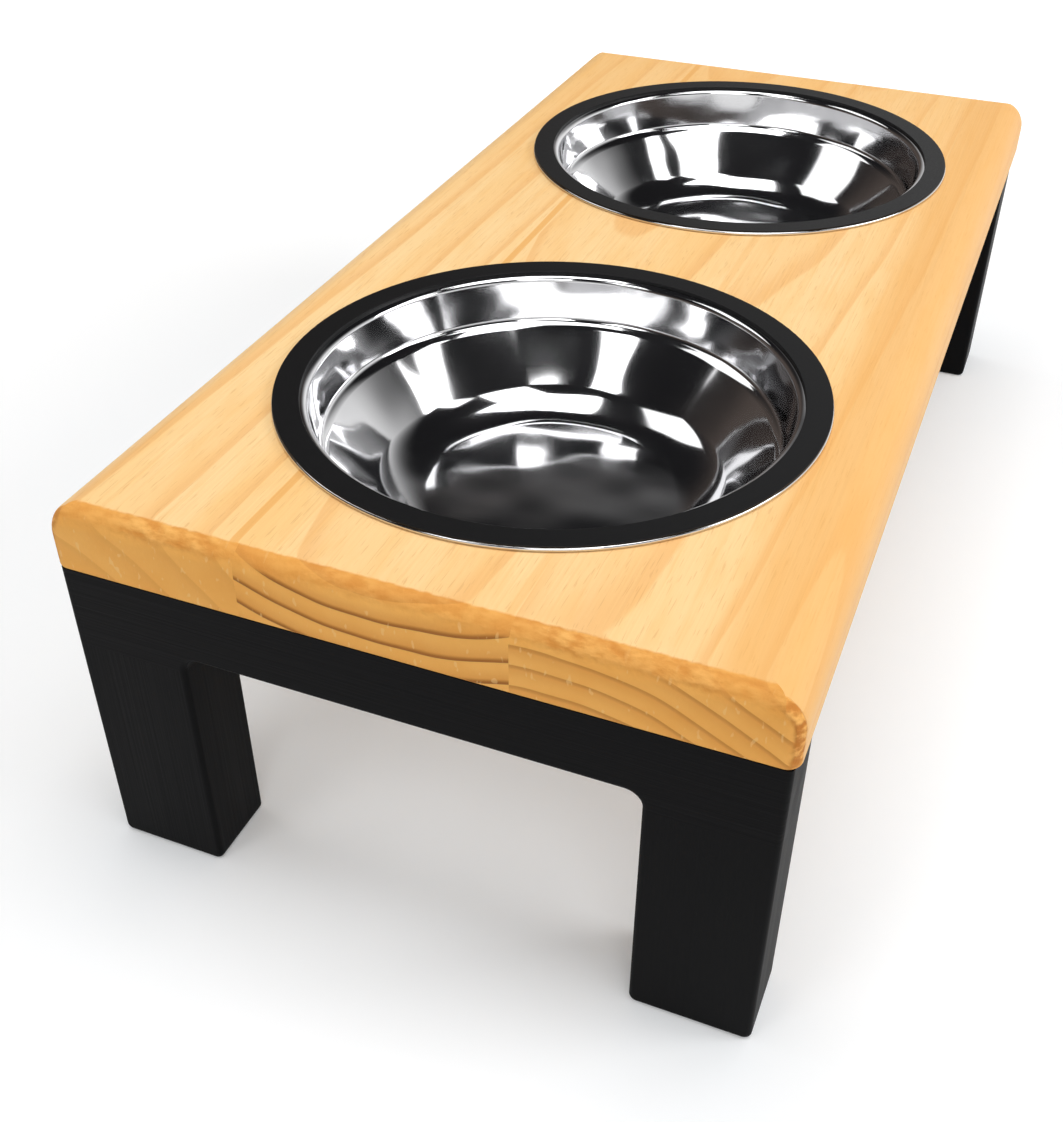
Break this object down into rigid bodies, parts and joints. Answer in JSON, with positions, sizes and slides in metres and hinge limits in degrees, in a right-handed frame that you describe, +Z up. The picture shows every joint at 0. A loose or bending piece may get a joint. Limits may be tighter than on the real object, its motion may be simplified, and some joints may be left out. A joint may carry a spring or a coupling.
{
  "type": "elevated double pet feeder",
  "caption": "Low pine table on black painted end frames, with round steel bowls that lift out of its top, for feeding a pet at a raised height.",
  "frame": {"origin": "on the floor, under the middle of the top", "axes": "+X along the top, from the left bowl to the right bowl, +Y from the front long side to the rear one, +Z up"},
  "size_m": [0.51, 0.25, 0.1552],
  "materials": {
    "pine": "clear satin lacquer",
    "black_paint": "satin black paint on pine",
    "dowel_wood": "bare",
    "screw_steel": "zinc plated",
    "bowl_steel": "mirror polished stainless steel",
    "black_rubber": "satin"
  },
  "bodies": {
    "table": {"top_stave_front": "pine", "top_stave_middle_left": "pine", "top_stave_middle_centre": "pine", "top_stave_middle_right": "pine", "top_stave_rear": "pine", "left_rail": "black_paint", "left_leg_front": "black_paint", "left_leg_rear": "black_paint", "left_dowels": "dowel_wood", "left_screws": "screw_steel", "right_rail": "black_paint", "right_leg_front": "black_paint", "right_leg_rear": "black_paint", "right_dowels": "dowel_wood", "right_screws": "screw_steel"},
    "left_bowl": {"left_bowl": "bowl_steel", "left_rim_ring": "black_rubber"},
    "right_bowl": {"right_bowl": "bowl_steel", "right_rim_ring": "black_rubber"}
  },
  "joints": [
    {"name": "left_bowl_lift", "type": "slide", "parent": "table", "child": "left_bowl", "axis": [0, 0, 1], "range_m": [0, 0.1]},
    {"name": "right_bowl_lift", "type": "slide", "parent": "table", "child": "right_bowl", "axis": [0, 0, 1], "range_m": [0, 0.1]}
  ]
}
